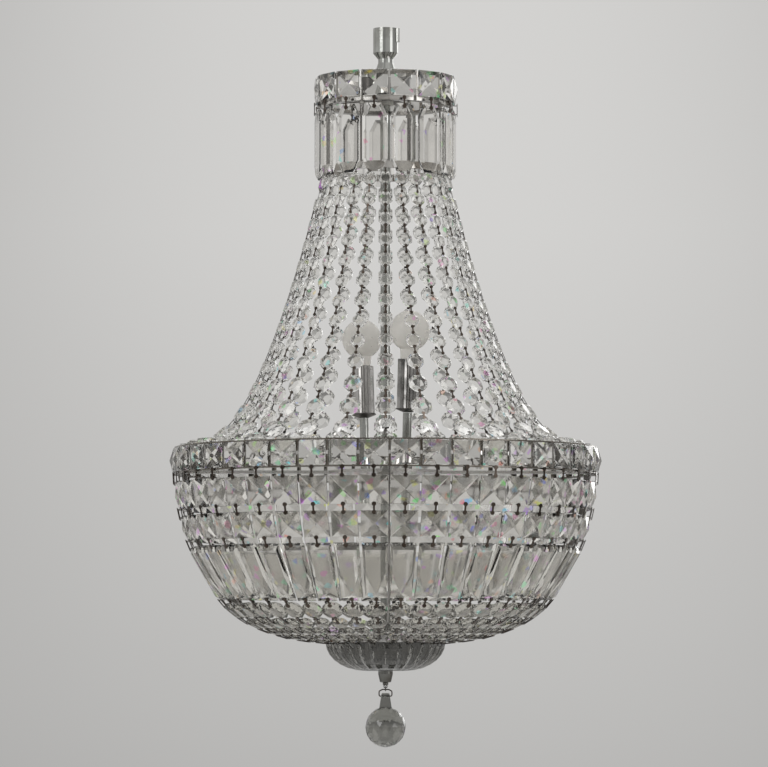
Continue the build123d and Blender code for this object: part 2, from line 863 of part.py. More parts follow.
finial_top = dish_bottom - seat_gap
finial_bottom = finial_top - finial_length
column_bottom = finial_top - finial_thread_depth + seat_gap
eye_z = finial_top - eye_drop
with BuildPart() as bottom_finial:
    with BuildSketch(Plane.XZ):
        with BuildLine():
            Polyline(
                (0, finial_top),
                (finial_top_radius, finial_top),
                (finial_top_radius, finial_top - finial_collar),
                (finial_end_radius, finial_bottom + 1),
                (neck_pin_radius, finial_bottom),
                (neck_pin_radius, finial_bottom - neck_pin_length),
                (0, finial_bottom - neck_pin_length),
                close=True,
            )
        make_face()
    revolve(axis=Axis.Z)
    with BuildSketch(Plane.XZ):
        with Locations((0, eye_z)):
            Circle(eye_radius + eye_wall)
            Rectangle(
                2 * (eye_radius + eye_wall),
                finial_bottom - neck_pin_length - eye_z,
                align=(Align.CENTER, Align.MIN),
            )
    extrude(amount=eye_thickness / 2, both=True)
    with BuildSketch(Plane.XZ):
        with Locations((0, eye_z)):
            Circle(eye_radius)
    extrude(amount=eye_thickness, both=True, mode=Mode.SUBTRACT)
    with BuildSketch(Plane.XY.offset(finial_top)):
        Circle(column_radius + running_fit)
    extrude(amount=-finial_thread_depth, mode=Mode.SUBTRACT)
save(bottom_finial.part, "bottom_finial")

with BuildPart() as center_column:
    with BuildSketch(Plane.XY.offset(column_bottom)):
        Circle(column_radius)
        Circle(wire_bore_radius, mode=Mode.SUBTRACT)
    extrude(amount=column_top - seat_gap - column_bottom)
save(center_column.part, "center_column")

# Nuts under the crown's hub, the main ring's hub and the bottom ring's hub
with BuildPart() as column_nuts:
    for seat in (arm_bottom, spoke_bottom, bottom_base):
        with BuildSketch(Plane.XY.offset(seat - nut_height)):
            RegularPolygon(nut_width / 2, 6, major_radius=False)
            Circle(column_radius + running_fit, mode=Mode.SUBTRACT)
        extrude(amount=nut_height)
save(column_nuts.part, "column_nuts")


jump_ring_z = eye_z - jump_ring_radius
with BuildPart() as pendant_jump_ring:
    with Locations(Location((0, 0, jump_ring_z), (0, 90, 0))):
        Torus(jump_ring_radius, jump_ring_wire)
save(pendant_jump_ring.part, "pendant_jump_ring")

bail_pivot_z = eye_z - bail_pivot_drop
bail_apex_z = jump_ring_z - jump_ring_radius + jump_ring_wire + seat_gap + bail_wire
bail_top_width = bail_half_width - bail_shoulder
with BuildPart() as pendant_bail:
    with BuildLine(Plane.XZ) as bail_path:
        FilletPolyline(
            (-bail_leg_end, bail_pivot_z),
            (-bail_half_width, bail_pivot_z),
            (-bail_half_width, bail_apex_z - bail_shoulder / 2),
            (-bail_top_width, bail_apex_z),
            (bail_top_width, bail_apex_z),
            (bail_half_width, bail_apex_z - bail_shoulder / 2),
            (bail_half_width, bail_pivot_z),
            (bail_leg_end, bail_pivot_z),
            radius=bail_bend,
        )
    with BuildSketch(Plane(origin=(-bail_leg_end, 0, bail_pivot_z), z_dir=(-1, 0, 0))):
        Circle(bail_wire)
    sweep()
save(pendant_bail.part, "pendant_bail")

ball_z = bail_pivot_z - ball_drop
lug_top_z = bail_pivot_z + lug_above_pivot
with BuildPart() as crystal_ball:
    with Locations((0, 0, ball_z)):
        Sphere(ball_radius)
    lug_height = lug_top_z - ball_z - ball_radius / 2
    inset = (lug_width - lug_top_width) / 2
    depth_inset = (lug_depth - lug_top_depth) / 2
    with Locations((0, 0, lug_top_z - lug_height)):
        Wedge(
            lug_width,
            lug_height,
            lug_depth,
            inset,
            depth_inset,
            lug_width - inset,
            lug_depth - depth_inset,
            rotation=(90, 0, 0),
            align=(Align.CENTER, Align.MIN, Align.CENTER),
        )
    with BuildSketch(Plane.YZ.offset(-lug_width)):
        with Locations((0, bail_pivot_z)):
            Circle(bail_wire + pin_play)
    extrude(amount=2 * lug_width, mode=Mode.SUBTRACT)
save(crystal_ball.part, "crystal_ball")


# Each lamp leans outward about its foot on the ring's hub. Its own plane has Z up
# the lamp and X outward.
lamp_planes = []
for k in range(lamp_count):
    turn = radians(lamp_azimuth + 360 / lamp_count * k)
    outward = Vector(sin(turn), -cos(turn), 0)
    lean = radians(lamp_lean)
    foot_height = spoke_top + seat_gap + lamp_stem_radius * sin(lean)
    up_lamp = outward * sin(lean) + Vector(0, 0, cos(lean))
    foot = outward * lamp_circle + Vector(0, 0, foot_height)
    side = Vector(-outward.Y, outward.X, 0)
    lamp_planes.append(Plane(origin=foot, x_dir=side, z_dir=up_lamp))

with BuildPart() as lamp_stem:
    with BuildSketch():
        Circle(lamp_stem_radius)
        Circle(lamp_stem_bore, mode=Mode.SUBTRACT)
    extrude(amount=lamp_stem_length)
save(copies(lamp_stem.part, lamp_planes), "lamp_stems")

cup_base = lamp_stem_length + seat_gap
with BuildPart() as drip_cup:
    with BuildSketch(Plane.XZ):
        with BuildLine():
            Polyline(
                (lamp_stem_bore, cup_base),
                (lamp_stem_radius, cup_base),
                (cup_radius, cup_base + cup_height - cup_wall),
                (cup_radius, cup_base + cup_height),
                (cup_radius - cup_wall, cup_base + cup_height),
                (lamp_stem_radius, cup_base + cup_wall),
                (lamp_stem_bore, cup_base + cup_wall),
                close=True,
            )
        make_face()
    revolve(axis=Axis.Z)
save(copies(drip_cup.part, lamp_planes), "drip_cups")

# The cover stands in the cup where the cup's inside is as wide as the cover.
cup_slope = (cup_height - cup_wall) / (cup_radius - cup_wall - lamp_stem_radius)
cover_base = cup_base + cup_wall + (cover_radius - lamp_stem_radius) * cup_slope + seat_gap
with BuildPart() as candle_cover:
    with BuildSketch(Plane.XY.offset(cover_base)):
        Circle(cover_radius)
        Circle(cover_radius - cover_wall, mode=Mode.SUBTRACT)
    extrude(amount=cover_length)
save(copies(candle_cover.part, lamp_planes), "candle_covers")

holder_floor = cup_base + cup_wall + seat_gap
holder_bore_z = holder_floor + holder_base
with BuildPart() as lampholder:
    with BuildSketch(Plane.XY.offset(holder_floor)):
        Circle(lamp_stem_radius - seat_gap)
        Circle(lamp_stem_bore, mode=Mode.SUBTRACT)
    extrude(amount=holder_base)
    with BuildSketch(Plane.XY.offset(holder_bore_z)):
        Circle(holder_radius)
        Circle(lamp_stem_bore, mode=Mode.SUBTRACT)
    extrude(amount=holder_base)
    with BuildSketch(Plane.XY.offset(holder_bore_z + holder_base)):
        Circle(holder_radius)
        Circle(bulb_base_radius + running_fit, mode=Mode.SUBTRACT)
    extrude(amount=holder_length - 2 * holder_base)
save(copies(lampholder.part, lamp_planes), "lampholders")

cover_top = cover_base + cover_length
bulb_z = cover_top + bulb_rise
neck_height_on_bulb = sqrt(bulb_radius**2 - bulb_neck_radius**2)
base_bottom = holder_bore_z + holder_base + seat_gap
base_top = holder_floor + holder_length + seat_gap
with BuildPart() as bulb:
    with BuildSketch(Plane.XZ):
        with BuildLine():
            globe = ThreePointArc(
                (bulb_neck_radius, bulb_z - neck_height_on_bulb),
                (bulb_radius, bulb_z),
                (0, bulb_z + bulb_radius),
            )
            Polyline(
                globe @ 1,
                (0, base_bottom),
                (bulb_base_radius, base_bottom),
                (bulb_base_radius, base_top),
                globe @ 0,
            )
        make_face()
    revolve(axis=Axis.Z)
save(copies(bulb.part, lamp_planes), "bulbs")
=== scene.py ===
import bmesh
import bpy
import math
from mathutils import Matrix, Vector


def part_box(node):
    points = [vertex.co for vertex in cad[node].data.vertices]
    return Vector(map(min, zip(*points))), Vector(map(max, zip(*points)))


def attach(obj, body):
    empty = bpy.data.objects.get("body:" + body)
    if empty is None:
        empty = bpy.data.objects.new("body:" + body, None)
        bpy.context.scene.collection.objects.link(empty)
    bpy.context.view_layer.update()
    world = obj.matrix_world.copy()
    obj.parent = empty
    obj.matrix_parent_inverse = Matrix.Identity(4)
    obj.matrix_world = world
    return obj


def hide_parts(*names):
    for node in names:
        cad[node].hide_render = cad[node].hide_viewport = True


# crystal chandelier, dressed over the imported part. Metres, z = 0 at the coupling's top face.
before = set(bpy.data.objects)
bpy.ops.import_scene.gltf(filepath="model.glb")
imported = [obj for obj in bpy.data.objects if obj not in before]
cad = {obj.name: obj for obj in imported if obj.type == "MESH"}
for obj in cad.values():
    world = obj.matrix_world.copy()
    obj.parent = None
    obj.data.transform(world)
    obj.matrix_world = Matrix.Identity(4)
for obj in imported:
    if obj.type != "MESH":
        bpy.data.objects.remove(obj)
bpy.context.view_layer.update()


bpy.ops.object.select_all(action="DESELECT")
print("frame loaded:", len(cad), "nodes")


def only(obj):
    bpy.ops.object.select_all(action="DESELECT")
    obj.select_set(True)
    bpy.context.view_layer.objects.active = obj


def enterEdit():
    bpy.ops.object.mode_set(mode="EDIT")


def leaveEdit():
    bpy.ops.object.mode_set(mode="OBJECT")


def editAll():
    # the active object goes into edit mode with all of it selected
    enterEdit()
    bpy.ops.mesh.select_mode(type="FACE")
    bpy.ops.mesh.select_all(action="SELECT")


def clearPick(kind):
    # nothing selected, and back in object mode, where code can select by place
    enterEdit()
    bpy.ops.mesh.select_mode(type=kind)
    bpy.ops.mesh.select_all(action="DESELECT")
    leaveEdit()


def pickFacing(obj, way):
    # the active object's faces that look the given way are selected, and edit mode stays on
    clearPick("FACE")
    for face in obj.data.polygons:
        face.select = face.normal.dot(Vector(way)) > 0.9
    enterEdit()


def pickPoints(obj, test):
    # the same for points whose place passes the test
    clearPick("VERT")
    for point in obj.data.vertices:
        point.select = test(point.co)
    enterEdit()


def pickEdges(obj, test):
    # the same for edges, where both ends have to pass the test
    clearPick("EDGE")
    for edge in obj.data.edges:
        edge.select = all(test(obj.data.vertices[i].co) for i in edge.vertices)
    enterEdit()


def moveAll(offset):
    # the whole mesh of the active object is moved
    editAll()
    bpy.ops.transform.translate(value=offset)
    leaveEdit()


def settle(obj):
    # place, turn and size go into the mesh
    only(obj)
    bpy.ops.object.transform_apply(location=True, rotation=True, scale=True)


def applyAll(obj):
    only(obj)
    for mod in list(obj.modifiers):
        bpy.ops.object.modifier_apply(modifier=mod.name)


def faceOut(obj):
    only(obj)
    editAll()
    bpy.ops.mesh.normals_make_consistent(inside=False)
    leaveEdit()


def facet(obj):
    # every face of the active object becomes flat triangles that face outwards
    editAll()
    bpy.ops.mesh.quads_convert_to_tris(quad_method="SHORTEST_DIAGONAL", ngon_method="BEAUTY")
    leaveEdit()
    faceOut(obj)


def drop(obj):
    bpy.data.objects.remove(obj)


def giveWall(obj, thickness):
    # a wall that grows inwards from the surface
    wall = obj.modifiers.new("wall", "SOLIDIFY")
    wall.thickness = thickness
    wall.offset = -1
    applyAll(obj)
    faceOut(obj)


def combine(obj, tool, operation):
    # the tool is cut from the object or joined to it, and is gone afterwards
    change = obj.modifiers.new("combine", "BOOLEAN")
    change.operation = operation
    change.object = tool
    change.solver = "EXACT"
    applyAll(obj)
    drop(tool)


def solidsOf(nodeName):
    # each separate solid of a CAD node, as its corner points
    samePoint = 2e-6
    work = bmesh.new()
    work.from_mesh(cad[nodeName].data)
    bmesh.ops.remove_doubles(work, verts=work.verts, dist=samePoint)
    seen = set()
    found = []
    for start in work.verts:
        if start in seen:
            continue
        seen.add(start)
        pile = [start]
        points = []
        while pile:
            v = pile.pop()
            points.append(v.co.copy())
            for edge in v.link_edges:
                other = edge.other_vert(v)
                if other not in seen:
                    seen.add(other)
                    pile.append(other)
        found.append(points)
    work.free()
    return found


def thinWay(points, middle, outward):
    # the way the solid is thinnest, in the upright plane through the axis
    along = [(p - middle).dot(outward) for p in points]
    high = [p.z - middle.z for p in points]
    spreadOut = sum(v * v for v in along)
    spreadUp = sum(v * v for v in high)
    both = sum(u * v for u, v in zip(along, high))
    longWay = 0.5 * math.atan2(2 * both, spreadOut - spreadUp)
    return Vector((0, 0, math.cos(longWay))) - outward * math.sin(longWay)


def placesOf(nodeName, upright=False):
    # frame of each solid (x sideways, y up the string, z out) and its size along those
    places = []
    for points in solidsOf(nodeName):
        middle = sum(points, Vector()) / len(points)
        turn = math.atan2(middle.x, -middle.y)
        side = Vector((math.cos(turn), math.sin(turn), 0))
        outward = Vector((math.sin(turn), -math.cos(turn), 0))
        normal = outward if upright else thinWay(points, middle, outward)
        if normal.dot(outward) < 0:
            normal = -normal
        up = normal.cross(side)
        spans = []
        for axis in (side, up, normal):
            reach = [p.dot(axis) for p in points]
            spans.append((min(reach), max(reach)))
        centre = sum((axis * (lo + hi) / 2 for axis, (lo, hi) in zip((side, up, normal), spans)), Vector())
        size = [hi - lo for lo, hi in spans]
        matrix = Matrix((side, up, normal)).transposed().to_4x4()
        matrix.translation = centre
        places.append((matrix, size))
    return places


def ownSize(size, matrix):
    return size


def copiesAt(template, places, name, sizing=ownSize):
    # one joined piece made of a copy of the template at each place
    parts = []
    for matrix, size in places:
        part = bpy.data.objects.new(name, template.data.copy())
        bpy.context.scene.collection.objects.link(part)
        part.data.transform(matrix @ Matrix.Diagonal((*sizing(size, matrix), 1)))
        parts.append(part)
    bpy.ops.object.select_all(action="DESELECT")
    for part in parts:
        part.select_set(True)
    bpy.context.view_layer.objects.active = parts[0]
    if len(parts) > 1:
        bpy.ops.object.join()
    joined = bpy.context.view_layer.objects.active
    joined.name = name
    return joined


def newGroup(name, inputs):
    # a node group that puts out a colour, a roughness and a normal
    group = bpy.data.node_groups.new(name, "ShaderNodeTree")
    for label, kind, value in inputs:
        socket = group.interface.new_socket(label, in_out="INPUT", socket_type=kind)
        socket.default_value = value
    for label, kind in (("Color", "NodeSocketColor"), ("Roughness", "NodeSocketFloat"),
                        ("Normal", "NodeSocketVector")):
        group.interface.new_socket(label, in_out="OUTPUT", socket_type=kind)
    start = group.nodes.new("NodeGroupInput")
    start.location = (-900, 0)
    end = group.nodes.new("NodeGroupOutput")
    end.location = (900, 0)
    return group, start, end


def addNode(tree, kind, at, **props):
    node = tree.nodes.new(kind)
    node.location = at
    for key, value in props.items():
        setattr(node, key, value)
    return node


# cut glass: faint tint changes, a few painted coloured glints that stand in for the flashes of dispersion,
# smudges and waves in the polish
glints = {"saturation": 0.6, "brightness": 1.0, "cloudScale": 55.0, "cloudDetail": 3.0, "darkest": 0.86,
          "palest": 1.06, "smudgeScale": 160.0, "smudgeDetail": 4.0, "rippleDepth": 0.0006}
glintGroup, glintIn, glintOut = newGroup("crystalGlints", [
    ("Tint", "NodeSocketColor", (0.95, 0.95, 0.93, 1)),
    ("Glint Scale", "NodeSocketFloat", 90.0),
    ("Glint Share", "NodeSocketFloat", 0.12),
    ("Smudge", "NodeSocketFloat", 0.03),
    ("Ripple", "NodeSocketFloat", 0.02),
])
tree = glintGroup
links = tree.links
coords = addNode(tree, "ShaderNodeTexCoord", (-900, -300))
spots = addNode(tree, "ShaderNodeTexVoronoi", (-640, 200))
links.new(coords.outputs["Object"], spots.inputs["Vector"])
links.new(glintIn.outputs["Glint Scale"], spots.inputs["Scale"])
split = addNode(tree, "ShaderNodeSeparateColor", (-440, 300))
links.new(spots.outputs["Color"], split.inputs["Color"])
# painted glints: the rarest spots get a bright colour of their own, as painted rainbow flashes
paintedGlintSpots = addNode(tree, "ShaderNodeMath", (-240, 260), operation="LESS_THAN")
links.new(split.outputs["Green"], paintedGlintSpots.inputs[0])
links.new(glintIn.outputs["Glint Share"], paintedGlintSpots.inputs[1])
paintedGlintColour = addNode(tree, "ShaderNodeCombineColor", (-240, 60), mode="HSV")
links.new(split.outputs["Red"], paintedGlintColour.inputs["Red"])
paintedGlintColour.inputs["Green"].default_value = glints["saturation"]
paintedGlintColour.inputs["Blue"].default_value = glints["brightness"]
cloud = addNode(tree, "ShaderNodeTexNoise", (-640, -120))
cloud.inputs["Scale"].default_value = glints["cloudScale"]
cloud.inputs["Detail"].default_value = glints["cloudDetail"]
links.new(coords.outputs["Object"], cloud.inputs["Vector"])
shade = addNode(tree, "ShaderNodeMapRange", (-440, -120))
shade.inputs["To Min"].default_value = glints["darkest"]
shade.inputs["To Max"].default_value = glints["palest"]
links.new(cloud.outputs["Fac"], shade.inputs["Value"])
tinted = addNode(tree, "ShaderNodeVectorMath", (-60, -60), operation="SCALE")
links.new(glintIn.outputs["Tint"], tinted.inputs[0])
links.new(shade.outputs["Result"], tinted.inputs["Scale"])
blendGlint = addNode(tree, "ShaderNodeMix", (220, 160), data_type="RGBA")
links.new(paintedGlintSpots.outputs["Value"], blendGlint.inputs["Factor"])
links.new(tinted.outputs["Vector"], blendGlint.inputs["A"])
links.new(paintedGlintColour.outputs["Color"], blendGlint.inputs["B"])
links.new(blendGlint.outputs["Result"], glintOut.inputs["Color"])
smudges = addNode(tree, "ShaderNodeTexNoise", (-640, -360))
smudges.inputs["Scale"].default_value = glints["smudgeScale"]
smudges.inputs["Detail"].default_value = glints["smudgeDetail"]
links.new(coords.outputs["Object"], smudges.inputs["Vector"])
rough = addNode(tree, "ShaderNodeMath", (-240, -340), operation="MULTIPLY")
links.new(smudges.outputs["Fac"], rough.inputs[0])
links.new(glintIn.outputs["Smudge"], rough.inputs[1])
links.new(rough.outputs["Value"], glintOut.inputs["Roughness"])
ripple = addNode(tree, "ShaderNodeBump", (220, -360))
ripple.inputs["Distance"].default_value = glints["rippleDepth"]
links.new(glintIn.outputs["Ripple"], ripple.inputs["Strength"])
links.new(smudges.outputs["Fac"], ripple.inputs["Height"])
links.new(ripple.outputs["Normal"], glintOut.inputs["Normal"])

# plated metal: cloudy stains, partly painted dark reflection, that are rougher than the plating, and level
# hairlines
plating = {"stainAndReflectionScale": 42.0, "stainAndReflectionDetail": 5.0, "stainAndReflectionFrom": 0.48, "stainAndReflectionFull": 0.68, "stainAndReflectionRough": 0.22,
           "hairStretch": (1, 1, 26), "hairScale": 120.0, "hairDetail": 2.0, "hairDepth": 0.0003}
plateGroup, plateIn, plateOut = newGroup("platedMetal", [
    ("Base", "NodeSocketColor", (0.7, 0.7, 0.7, 1)),
    ("Stain And Dark Reflection", "NodeSocketColor", (0.25, 0.2, 0.15, 1)),
    ("Stain And Reflection Amount", "NodeSocketFloat", 0.3),
    ("Polish", "NodeSocketFloat", 0.12),
    ("Hairlines", "NodeSocketFloat", 0.06),
])
tree = plateGroup
links = tree.links
coords = addNode(tree, "ShaderNodeTexCoord", (-900, -300))
stainAndReflectionNoise = addNode(tree, "ShaderNodeTexNoise", (-640, 200))
stainAndReflectionNoise.inputs["Scale"].default_value = plating["stainAndReflectionScale"]
stainAndReflectionNoise.inputs["Detail"].default_value = plating["stainAndReflectionDetail"]
links.new(coords.outputs["Object"], stainAndReflectionNoise.inputs["Vector"])
stainAndReflectionRamp = addNode(tree, "ShaderNodeMapRange", (-440, 200))
stainAndReflectionRamp.inputs["From Min"].default_value = plating["stainAndReflectionFrom"]
stainAndReflectionRamp.inputs["From Max"].default_value = plating["stainAndReflectionFull"]
links.new(stainAndReflectionNoise.outputs["Fac"], stainAndReflectionRamp.inputs["Value"])
stainAndReflectionMask = addNode(tree, "ShaderNodeMath", (-240, 200), operation="MULTIPLY")
links.new(stainAndReflectionRamp.outputs["Result"], stainAndReflectionMask.inputs[0])
links.new(plateIn.outputs["Stain And Reflection Amount"], stainAndReflectionMask.inputs[1])
plateMix = addNode(tree, "ShaderNodeMix", (0, 200), data_type="RGBA")
links.new(stainAndReflectionMask.outputs["Value"], plateMix.inputs["Factor"])
links.new(plateIn.outputs["Base"], plateMix.inputs["A"])
links.new(plateIn.outputs["Stain And Dark Reflection"], plateMix.inputs["B"])
links.new(plateMix.outputs["Result"], plateOut.inputs["Color"])
stretch = addNode(tree, "ShaderNodeMapping", (-700, -200))
stretch.inputs["Scale"].default_value = plating["hairStretch"]
links.new(coords.outputs["Object"], stretch.inputs["Vector"])
hairs = addNode(tree, "ShaderNodeTexNoise", (-520, -200))
hairs.inputs["Scale"].default_value = plating["hairScale"]
hairs.inputs["Detail"].default_value = plating["hairDetail"]
links.new(stretch.outputs["Vector"], hairs.inputs["Vector"])
hairRough = addNode(tree, "ShaderNodeMath", (-240, -160), operation="MULTIPLY_ADD")
links.new(hairs.outputs["Fac"], hairRough.inputs[0])
links.new(plateIn.outputs["Hairlines"], hairRough.inputs[1])
links.new(plateIn.outputs["Polish"], hairRough.inputs[2])
stainAndReflectionRough = addNode(tree, "ShaderNodeMath", (0, -120), operation="MULTIPLY_ADD")
links.new(stainAndReflectionMask.outputs["Value"], stainAndReflectionRough.inputs[0])
stainAndReflectionRough.inputs[1].default_value = plating["stainAndReflectionRough"]
links.new(hairRough.outputs["Value"], stainAndReflectionRough.inputs[2])
links.new(stainAndReflectionRough.outputs["Value"], plateOut.inputs["Roughness"])
hairBump = addNode(tree, "ShaderNodeBump", (220, -360))
hairBump.inputs["Distance"].default_value = plating["hairDepth"]
links.new(plateIn.outputs["Hairlines"], hairBump.inputs["Strength"])
links.new(hairs.outputs["Fac"], hairBump.inputs["Height"])
links.new(hairBump.outputs["Normal"], plateOut.inputs["Normal"])


def newMaterial(name, group, values):
    # a material whose colour, roughness and normal come from the group with these values
    mat = bpy.data.materials.new(name)
    mat.use_nodes = True
    tree = mat.node_tree
    shader = tree.nodes["Principled BSDF"]
    surface = addNode(tree, "ShaderNodeGroup", (-320, 200))
    surface.node_tree = group
    for label, value in values.items():
        surface.inputs[label].default_value = value
    tree.links.new(surface.outputs["Color"], shader.inputs["Base Color"])
    tree.links.new(surface.outputs["Roughness"], shader.inputs["Roughness"])
    tree.links.new(surface.outputs["Normal"], shader.inputs["Normal"])
    return mat, shader


def glassMaterial(name, ior, tintAndShade, share, scale=90.0, smudge=0.03, ripple=0.02, transmission=1.0):
    values = {"Tint": (*tintAndShade, 1), "Glint Share": share, "Glint Scale": scale, "Smudge": smudge,
              "Ripple": ripple}
    mat, shader = newMaterial(name, glintGroup, values)
    shader.inputs["IOR"].default_value = ior
    shader.inputs["Transmission Weight"].default_value = transmission
    return mat


def metalMaterial(name, base, stainAndReflection, amount=0.3, polish=0.12, hairlines=0.06, metallic=1.0):
    values = {"Base": (*base, 1), "Stain And Dark Reflection": (*stainAndReflection, 1), "Stain And Reflection Amount": amount, "Polish": polish,
              "Hairlines": hairlines}
    mat, shader = newMaterial(name, plateGroup, values)
    shader.inputs["Metallic"].default_value = metallic
    return mat


# share and scale are how many painted coloured glints there are and how fine, ripple how wavy the surface.
# The tint is the glass's own colour with painted shade in it: the prisms, the lower octagons, the ball and
# the dish are darker, since less light reaches them from above
glassLooks = {
    "stringGlass": {"ior": 1.4, "tintAndShade": (0.93, 0.925, 0.905), "share": 0.02, "scale": 240.0, "smudge": 0.12},
    "cutGlass": {"ior": 1.45, "tintAndShade": (0.82, 0.805, 0.77), "share": 0.05, "scale": 190.0, "smudge": 0.12},
    # the prisms' and the lower octagons' darker tints are painted shade
    "prismGlass": {"ior": 1.5, "tintAndShade": (0.72, 0.705, 0.665), "share": 0.03, "scale": 190.0, "smudge": 0.12},
    "lowGlass": {"ior": 1.5, "tintAndShade": (0.5, 0.485, 0.445), "share": 0.02, "scale": 260.0, "smudge": 0.1,
                 "ripple": 0.3},
    "clearGlass": {"ior": 1.4, "tintAndShade": (0.91, 0.9, 0.88), "share": 0.01, "scale": 200.0},
    "ringGlass": {"ior": 1.5, "tintAndShade": (0.81, 0.8, 0.775), "share": 0.05, "scale": 220.0},
    # the ball's and the dish's dark tints are painted shade
    "ballGlass": {"ior": 1.52, "tintAndShade": (0.27, 0.27, 0.25), "share": 0.03, "scale": 120.0},
    "dishGlass": {"ior": 1.5, "tintAndShade": (0.27, 0.265, 0.25), "share": 0.0, "smudge": 0.16, "ripple": 0.2},
    "bulbGlass": {"ior": 1.3, "tintAndShade": (0.9, 0.88, 0.84), "share": 0.0, "smudge": 0.9, "transmission": 0.42},
}
# polish is the roughness where there is no stain and no painted dark reflection. The sockets' clay has the
# same pattern, without metal
metalLooks = {
    "chrome": {"base": (0.62, 0.61, 0.6), "stainAndReflection": (0.3, 0.26, 0.22)},
    # turned and finial chrome: the dark base and the heavy dark stain are painted reflection of a dark room
    "turnedChrome": {"base": (0.36, 0.365, 0.35), "stainAndReflection": (0.14, 0.13, 0.11), "amount": 0.5,
                     "polish": 0.08},
    "finialChrome": {"base": (0.17, 0.17, 0.16), "stainAndReflection": (0.07, 0.06, 0.05), "amount": 0.6,
                     "polish": 0.07},
    "ribMetal": {"base": (0.24, 0.23, 0.22), "stainAndReflection": (0.08, 0.07, 0.06), "amount": 0.7, "polish": 0.2},
    # the covers' heavy, nearly black stain is painted dark reflection: the streaks of a fluted chrome tube
    "coverChrome": {"base": (0.44, 0.43, 0.42), "stainAndReflection": (0.05, 0.05, 0.045), "amount": 0.85,
                    "polish": 0.04},
    "ringChrome": {"base": (0.5, 0.49, 0.47), "stainAndReflection": (0.2, 0.16, 0.12), "amount": 0.6},
    "flangeChrome": {"base": (0.17, 0.155, 0.135), "stainAndReflection": (0.07, 0.055, 0.04), "amount": 0.8,
                     "polish": 0.2},
    "darkMetal": {"base": (0.1, 0.095, 0.09), "stainAndReflection": (0.03, 0.025, 0.02), "polish": 0.3},
    "clipMetal": {"base": (0.075, 0.06, 0.05), "stainAndReflection": (0.03, 0.022, 0.016), "amount": 0.8, "polish": 0.14},
    "screwSteel": {"base": (0.45, 0.44, 0.42), "stainAndReflection": (0.25, 0.2, 0.15), "polish": 0.28,
                   "hairlines": 0.15},
    "socketClay": {"base": (0.75, 0.74, 0.7), "stainAndReflection": (0.5, 0.47, 0.4), "polish": 0.45, "metallic": 0.0},
}
finishes = {}
for name, look in glassLooks.items():
    finishes[name] = glassMaterial(name, **look)
for name, look in metalLooks.items():
    finishes[name] = metalMaterial(name, **look)
print("materials made:", len(finishes))


def putFinish(obj, finish):
    obj.data.materials.clear()
    obj.data.materials.append(finishes[finish])


# CAD nodes that keep their shape
asTheyAre = {
    "stem_coupling": "turnedChrome", "stem_grub_screw": "screwSteel", "center_column": "turnedChrome",
    "column_nuts": "screwSteel", "crown_hub": "darkMetal", "crown_arms": "darkMetal",
    "crown_ring": "ringChrome", "support_posts": "ribMetal", "post_nuts": "screwSteel",
    "neck_ring": "ringChrome", "main_ring_flanges": "flangeChrome", "main_ring_rivets": "chrome",
    "ring_hub": "chrome", "ring_spokes": "chrome", "basket_hoop": "chrome", "basket_ribs": "ribMetal",
    "bottom_ring": "chrome", "bottom_finial": "finialChrome", "pendant_jump_ring": "clipMetal",
    "pendant_bail": "clipMetal", "lamp_stems": "turnedChrome", "drip_cups": "darkMetal",
    "lampholders": "socketClay", "bulbs": "bulbGlass",
}
roundNodes = ("bottom_finial", "stem_coupling", "lamp_stems", "bulbs", "center_column", "pendant_bail",
              "pendant_jump_ring", "neck_ring", "basket_hoop", "drip_cups")
roundBelow = math.radians(35)    # edges sharper than this stay sharp
for nodeName, finish in asTheyAre.items():
    putFinish(cad[nodeName], finish)
for nodeName in cad:
    if nodeName.startswith("crown_prism_") and nodeName != "crown_prism_pins":
        putFinish(cad[nodeName], "clearGlass")
for nodeName in roundNodes:
    only(cad[nodeName])
    bpy.ops.object.shade_smooth_by_angle(angle=roundBelow)
print("CAD nodes painted")


# eight-sided crystal, 1 across and 1 deep: a girdle, sixteen facets each side, a table
octagonCut = {"sides": 8, "girdle": 0.16, "rim": 0.19, "rise": 0.42}
octagonGlass = {
    "strand_octagons_14": "stringGlass", "strand_octagons_16": "stringGlass",
    "strand_octagons_18": "stringGlass", "strand_octagons_20": "stringGlass",
    "strand_octagons_22": "stringGlass", "basket_octagons_20": "lowGlass",
    "basket_octagons_16": "lowGlass", "basket_octagons_14": "lowGlass",
}
halfSide = math.pi / octagonCut["sides"]
bpy.ops.mesh.primitive_cylinder_add(vertices=octagonCut["sides"], radius=0.5 / math.cos(halfSide),
                                    depth=octagonCut["girdle"], rotation=(0, 0, halfSide))
octagon = bpy.context.object
settle(octagon)
for side in (1, -1):
    pickFacing(octagon, (0, 0, side))
    bpy.ops.mesh.inset(thickness=octagonCut["rim"])
    bpy.ops.transform.translate(value=(0, 0, octagonCut["rise"] * side))
    bpy.ops.transform.rotate(value=halfSide, orient_axis="Z", center_override=(0, 0, 0))
    leaveEdit()
facet(octagon)
for nodeName, finish in octagonGlass.items():
    group = copiesAt(octagon, placesOf(nodeName), nodeName + "_cut")
    putFinish(group, finish)
    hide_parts(nodeName)
    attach(group, "root")
drop(octagon)
print("octagons cut")

